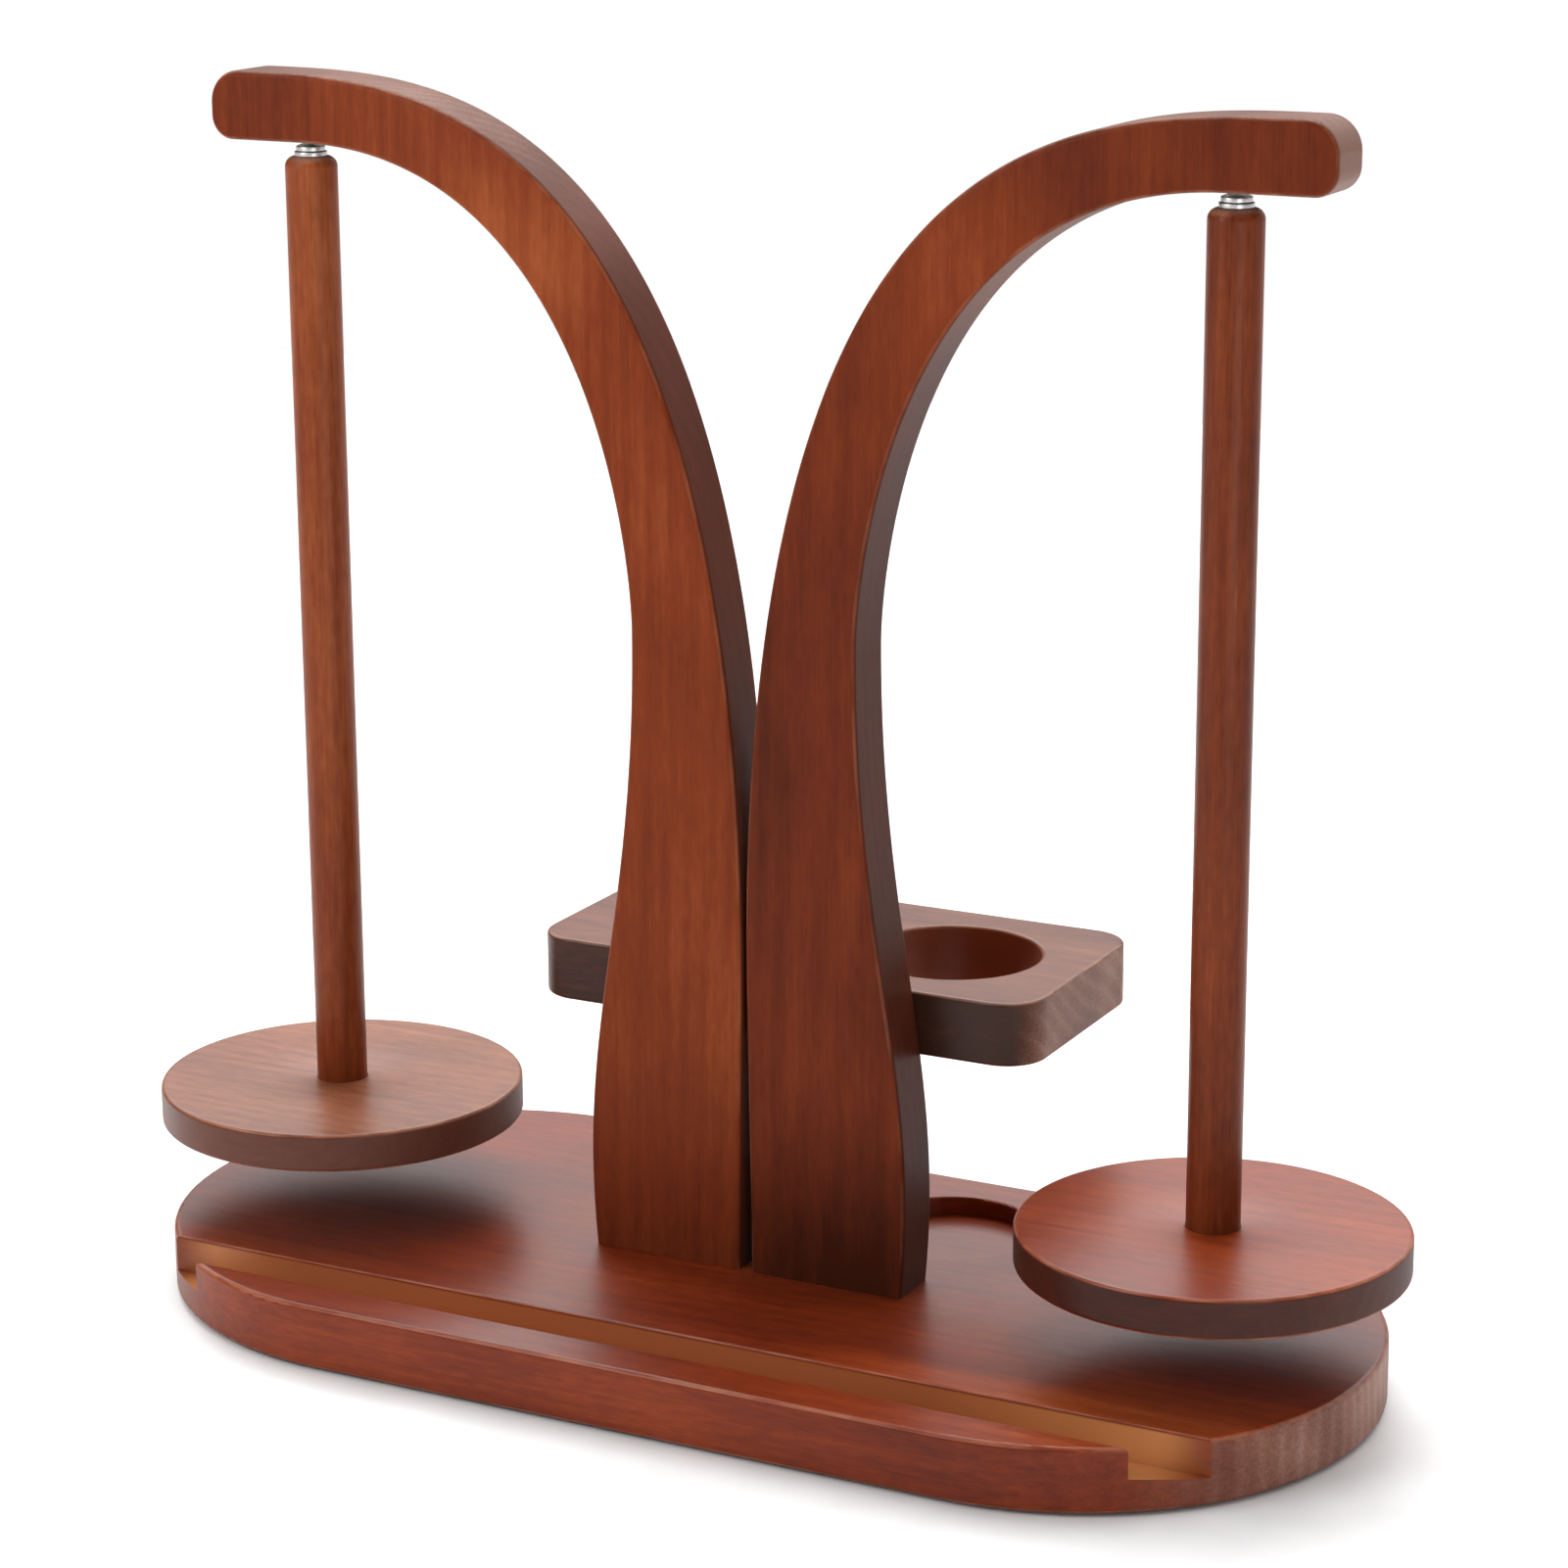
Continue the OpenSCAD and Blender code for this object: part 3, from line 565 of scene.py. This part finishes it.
def painted_rim_shade(colour):
    """A disc's rim painted an even darker brown: painted shade, since little light reaches the rims
    low over the base, and least the right one.
    """
    return lambda f, under, place, normal: f.blend(upright(normal) * 0.75, under, (*colour, 1))


SHELF_HOLE_X, SHELF_HOLE_Y, SHELF_HOLE_R = 0.0375, 0.04675, 0.025


def in_hole(place):
    """1 inside the shelf's round holes and on their eased rims."""
    out = ((abs(place[0]) - SHELF_HOLE_X) ** 2 + (place[1] - SHELF_HOLE_Y) ** 2) ** 0.5
    return 1 - out.above(SHELF_HOLE_R + 0.0008, SHELF_HOLE_R + 0.0016)


def shelf_painted_shading(place, normal):
    """Painted shade: the shelf's long sides are painted darker, for the shade of the arms and discs.
    """
    return abs(normal[1]).above(0.3, 0.7) * (1 - in_hole(place)) * -0.34


def shelf_holes(f, colour, place, normal):
    """The walls of its holes are a clear red-brown."""
    return f.blend(in_hole(place) * upright(normal) * 0.8, colour, (*rgb(126, 62, 36), 1))


SLOT_FRONT, SLOT_BACK = -0.0715, -0.0568


def base_painted_shading(place, normal):
    """The base is lighter on its long sides. The top at the right front and a strip of the top just
    behind the slot are painted lighter, painted light where light falls on them. The slot's front lip
    is a little darker at the left and lighter at the right.
    """
    x, y = place[0], place[1]
    side = abs(normal[1]).above(0.3, 0.7)
    lip = (1 - y.above(SLOT_FRONT - 0.0007, SLOT_FRONT + 0.0007)) * normal[2].above(0.5, 0.9)
    right = x.above(0.02, 0.14) * (1 - y.above(-0.06, 0.02)) * (1 - side)
    behind = y.above(SLOT_BACK - 0.0007, SLOT_BACK + 0.0003) * (1 - y.above(-0.052, -0.040)) * (
        abs(x + 0.02).above(0.04, 0.09)) * (1 - side)
    return (side * 0.10 + lip * (x.above(-0.05, 0.05) * 0.14 - 0.04) + right * 0.20
            + behind * 0.2)


def base_slot(f, colour, place, normal):
    """The slot's rear wall and floor are a golden tan, and red-brown again at the very ends."""
    x, y, z = place
    before = 1 - y.above(SLOT_BACK - 0.0002, SLOT_BACK + 0.0002)
    wall = y.above(SLOT_BACK - 0.0014, SLOT_BACK - 0.0008) * before * (
        -1 * normal[1]).above(0.6, 0.9)
    bed = y.above(SLOT_FRONT - 0.0001, SLOT_FRONT + 0.0001) * before * normal[2].above(0.6, 0.9)
    inside = (wall + bed) * (1 - z.above(0.0178, 0.0186))
    middle = 1 - abs(x).above(0.142, 0.158) * 0.9
    golden = f.blend(abs(x + 0.02).above(0.09, 0.15), (*rgb(166, 97, 59), 1),
                     (*rgb(197, 131, 80), 1))
    return f.blend(inside * middle * 0.85, colour, golden)


def metal(name, colour, rough):
    """Turned or plated metal: fine noise in tone and roughness, with rings from the lathe."""
    f = Finish(bpy.data.materials.new(name))
    place = f.node("ShaderNodeTexCoord", out="Object")
    z = f.node("ShaderNodeSeparateXYZ", None, {0: place}, out=2)
    grime = f.node("ShaderNodeTexNoise", None, {"Vector": place, "Scale": 420.0, "Detail": 3.0})
    rings = (z * 26000.0 + grime * 2.0).math("SINE") * 0.5 + 0.5
    tint = f.node("ShaderNodeValToRGB", {
        "stops": [(0.25, tuple(c * 0.72 for c in colour)), (0.7, colour)]}, {
            "Fac": grime * 0.8 + rings * 0.2})
    bumps = f.node("ShaderNodeBump", None, {
        "Strength": 0.25, "Distance": 0.00003, "Height": rings * 0.6 + grime * 0.4})
    return f.done(f.node("ShaderNodeBsdfPrincipled", None, {
        "Base Color": tint, "Metallic": 1.0, "Normal": bumps,
        "Roughness": grime * 0.2 + rings * 0.05 + rough}))


def rubber(name):
    """Soft pad rubber: dark, dull, with a fine grain and patches of dust."""
    f = Finish(bpy.data.materials.new(name))
    place = f.node("ShaderNodeTexCoord", out="Object")
    grain = f.node("ShaderNodeTexNoise", None, {"Vector": place, "Scale": 2600.0, "Detail": 2.0})
    dust = f.node("ShaderNodeTexNoise", None, {"Vector": place, "Scale": 240.0, "Detail": 3.0})
    colour = f.node("ShaderNodeValToRGB", {"stops": [
        (0.3, (0.016, 0.016, 0.018)), (0.75, (0.06, 0.058, 0.055))]}, {
            "Fac": grain * 0.4 + dust * 0.6})
    bumps = f.node("ShaderNodeBump", None, {
        "Strength": 0.5, "Distance": 0.0001, "Height": grain})
    return f.done(f.node("ShaderNodeBsdfPrincipled", None, {
        "Base Color": colour, "Roughness": dust * 0.2 + 0.62, "Normal": bumps}))


# ---------------------------------------------------------------- the rack's pieces

def finish_node(node, material):
    """Gives a CAD node one material in place of its plain one."""
    mesh = nodes[node].data
    for i in range(len(mesh.materials)):
        mesh.materials[i] = material


def stand_in(piece, node, body, material):
    """Puts a finished piece in a CAD node's place, on the body that carries it."""
    piece.data.materials.append(material)
    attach(piece, body)
    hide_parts(node)


steel = metal("turned_steel", rgb(206, 205, 203), 0.22)
nickel = metal("nickel_plate", rgb(212, 208, 198), 0.16)
screw_steel = metal("screw_steel_finish", rgb(176, 174, 170), 0.3)

finish_node("base_board", wood("base_wood", "x", "z", 2.0, (0.26, 0.0), shade=-0.17,
                               ring_width=5.5, painted_shading=base_painted_shading, paint=base_slot))
finish_node("cup_shelf", wood("shelf_wood", "x", "z", 7.0, (-0.10, -0.12), tones=DULL_BROWN,
                              shade=-0.15, ring_width=5.0, painted_shading=shelf_painted_shading, paint=shelf_holes))
for side, sign in SIDES.items():
    x, y = sign * SPINDLE[0], SPINDLE[1]

    def lathe(name, profile, ease, node, body, material, steps=64):
        """A piece turned on this side's spindle line, in place of its node."""
        grids = moved(turned(eased(profile, ease), steps), (x, y, 0))
        stand_in(mesh_from_grids(f"{side}_{name}", grids), f"{side}_{node}",
                 body, material)

    # The discs, their rims and the rods are darker on the right than on the left: partly wood that
    # differs, partly painted shade for light that falls off to the right
    lathe("turned_disc", DISC, 0.15, "yarn_disc", f"{side}_spindle", wood(
        f"{side}_disc_wood", "x", "z", 11.0 + sign, (0.15, -0.10), end_share=0.3,
        tones=DULL_BROWN if side == "left" else RED_BROWN, shade=-0.04 * sign,
        paint=painted_rim_shade(rgb(80, 42, 33) if side == "left" else rgb(24, 12, 10))), 192)
    lathe("turned_rod", ROD, 0.15, "spindle_rod", f"{side}_spindle", wood(
        f"{side}_rod_wood", "z", "z", 15.0 + sign, (0.05 * sign, 0.06), tones=ROD_BROWN,
        shade=-0.09 - 0.09 * sign, ior=1.2), 96)
    lathe("pressed_cup", MAGNET_CUP, 0.2, "magnet_cup", "stand", steel)
    lathe("disc_magnet", MAGNET, 0.25, "magnet", "stand", nickel)
    lathe("steel_ball", BALL, 0.01, "pivot_ball", f"{side}_ball", steel)
    lathe("turned_stud", STUD, 0.15, "swivel_stud", f"{side}_swivel", steel)
    lathe("flanged_sleeve", SLEEVE, 0.15, "rod_sleeve", f"{side}_spindle", steel)
    # The right arm is darker than the left: partly wood that differs, partly painted shade for light
    # that falls off to the right
    stand_in(arm(f"{side}_curved_arm", sign), f"{side}_arm", "stand", wood(
        f"{side}_arm_wood", "z", "y", 20.0 + 3 * sign, (0.10, -0.16), tones=ARM_BROWN, ior=1.14,
        shade=-0.06 if side == "left" else -0.23, wear_and_highlight=0.2, figure=0.55, painted_shading=arm_painted_shading,
        paint=painted_arm_sides))

for side, sign in SIDES.items():
    x, y = sign * SPINDLE[0], SPINDLE[1]
    stand_in(mesh_from_grids(f"{side}_disc_wood_screw",
                             moved(wood_screw(*DISC_SCREW), (x, y, DISC_BOTTOM))),
             f"{side}_disc_screw", f"{side}_spindle", screw_steel)
    stand_in(mesh_from_grids(f"{side}_magnet_wood_screw",
                             moved(wood_screw(*MAGNET_SCREW), (x, y, MAGNET_SCREW_Z))),
             f"{side}_magnet_screw", "stand", screw_steel)

both = tuple(SIDES.values())
stand_in(mesh_from_grids("arm_wood_screws", joined_grids(*(
    moved(wood_screw(*ARM_SCREW), (s * ARM_SCREW_X, 0, BASE_BOTTOM)) for s in both))),
    "arm_screws", "stand", screw_steel)
stand_in(mesh_from_grids("domed_pads", joined_grids(*(
    moved(foot_pad(*PAD), (s * PAD_AT[0], t * PAD_AT[1], 0)) for s in both for t in both))),
    "foot_pads", "stand", rubber("pad_rubber_finish"))
stand_in(mesh_from_grids("fluted_arm_dowels", joined_grids(*(
    moved(fluted_dowel(*ARM_DOWEL), (s * x, 0, ARM_DOWEL_MIDDLE))
    for s in both for x in ARM_DOWEL_X))),
    "arm_dowels", "stand",
    wood("dowel_beech", "z", "z", 31.0, (0.02, 0.02), PALE, PALE))
stand_in(mesh_from_grids("fluted_shelf_dowels", joined_grids(*(
    moved(lying(fluted_dowel(*SHELF_DOWEL)), (s * x, SHELF_DOWEL_MIDDLE, SHELF_DOWEL_Z))
    for s in both for x in SHELF_DOWEL_X))),
    "shelf_dowels", "stand",
    wood("shelf_dowel_beech", "y", "y", 33.0, (0.02, 0.02), PALE, PALE))


# ---------------------------------------------------------------- studio

def floor_sheet(size):
    """A flat sheet at the table's height, size to each side of the middle, as a grid of points."""
    s = np.linspace(-size, size, 9)
    x, y = np.meshgrid(s, s, indexing="ij")
    return np.stack([x, y, np.zeros_like(x)], -1)


floor = mesh_from_grids("floor", [floor_sheet(1400)])
paper = Finish(bpy.data.materials.new("pale_paper"))
spot = paper.node("ShaderNodeTexCoord", out="Object")
fleck = paper.node("ShaderNodeTexNoise", None, {"Vector": spot, "Scale": 60.0, "Detail": 3.0})
tint = paper.node("ShaderNodeValToRGB", {"stops": [
    (0.3, (0.75, 0.75, 0.75)), (0.7, (0.79, 0.79, 0.79))]}, {"Fac": fleck})
floor.data.materials.append(paper.done(paper.node(
    "ShaderNodeBsdfPrincipled", None, {"Base Color": tint, "Roughness": 0.8, "IOR": 1.2})))


def soft_light(name, place, aim, size, power):
    """A white square soft box at place that points at aim."""
    data = bpy.data.lights.new(name, "AREA")
    data.shape, data.size, data.energy = "SQUARE", size, power
    lamp = bpy.data.objects.new(name, data)
    bpy.context.scene.collection.objects.link(lamp)
    lamp.location = place
    lamp.rotation_mode = "QUATERNION"
    lamp.rotation_quaternion = (Vector(aim) - Vector(place)).to_track_quat("-Z", "Y")


soft_light("window", (-0.42, -0.65, 0.54), (-0.08, 0, 0.2), 0.4, 3.5)
soft_light("low_fill", (0.62, -0.55, 0.14), (0.14, 0, 0.06), 0.3, 1.1)
soft_light("overhead", (-0.25, 0.45, 1.5), (0, 0, 0.1), 1.1, 15)

# The room's own light: dim in front, bright overhead and on the walls behind, most of all to the
# left, and plain white where the camera looks past the rack
OVERHEAD_GLOW, WALL_GLOW, ROOM_GLOW = 0.7, 6.0, 0.06
room = Finish(bpy.data.worlds.new("studio"))
toward = room.parts("Generated")
overhead = toward[2].above(0.1, 0.95)
wall = (toward[0] * -0.50 + toward[1] * 0.84 + toward[2] * 0.20).above(0.35, 0.98)
side_wall = (toward[0] * 0.48 + toward[1] * 0.86 + toward[2] * 0.17).above(0.75, 0.97)
below = (-1 * toward[2]).above(0.0, 0.06)
glow = (overhead * OVERHEAD_GLOW + wall * toward[2].above(0.28, 0.53) * WALL_GLOW
        + side_wall * toward[2].above(-0.02, 0.10) + below + ROOM_GLOW)
seen = room.node("ShaderNodeLightPath", out="Is Camera Ray")
room.done(room.node("ShaderNodeBackground", None, {
    "Color": (1, 1, 1, 1), "Strength": glow * (1 - seen) + seen}), "ShaderNodeOutputWorld")
bpy.context.scene.world = room.owner
bpy.context.scene.view_settings.view_transform = "Standard"

# The photograph's camera, solved from the rack's own circles and edges
AZIMUTH, ELEVATION, ROLL = math.radians(27.31), math.radians(15.02), math.radians(-0.30)
FOCAL_PX, PHOTO_PX, SENSOR = 4219.5, 1601, 36
TARGET, DISTANCE = Vector((0.00838, 0, 0.15823)), 1.1189

camera = bpy.data.objects.new("camera", bpy.data.cameras.new("camera"))
bpy.context.scene.collection.objects.link(camera)
camera.data.sensor_width = SENSOR
camera.data.lens = FOCAL_PX / PHOTO_PX * SENSOR
camera.data.clip_start, camera.data.clip_end = 0.05, 40
away = Vector((math.sin(AZIMUTH) * math.cos(ELEVATION),
               -math.cos(AZIMUTH) * math.cos(ELEVATION), math.sin(ELEVATION)))
level = Vector((math.cos(AZIMUTH), math.sin(AZIMUTH), 0))
plumb = away.cross(level)
right = math.cos(ROLL) * level + math.sin(ROLL) * plumb
upward = -math.sin(ROLL) * level + math.cos(ROLL) * plumb
facing = Matrix((right, upward, away)).transposed().to_4x4()
camera.matrix_world = Matrix.Translation(TARGET + away * DISTANCE) @ facing
bpy.context.scene.camera = camera
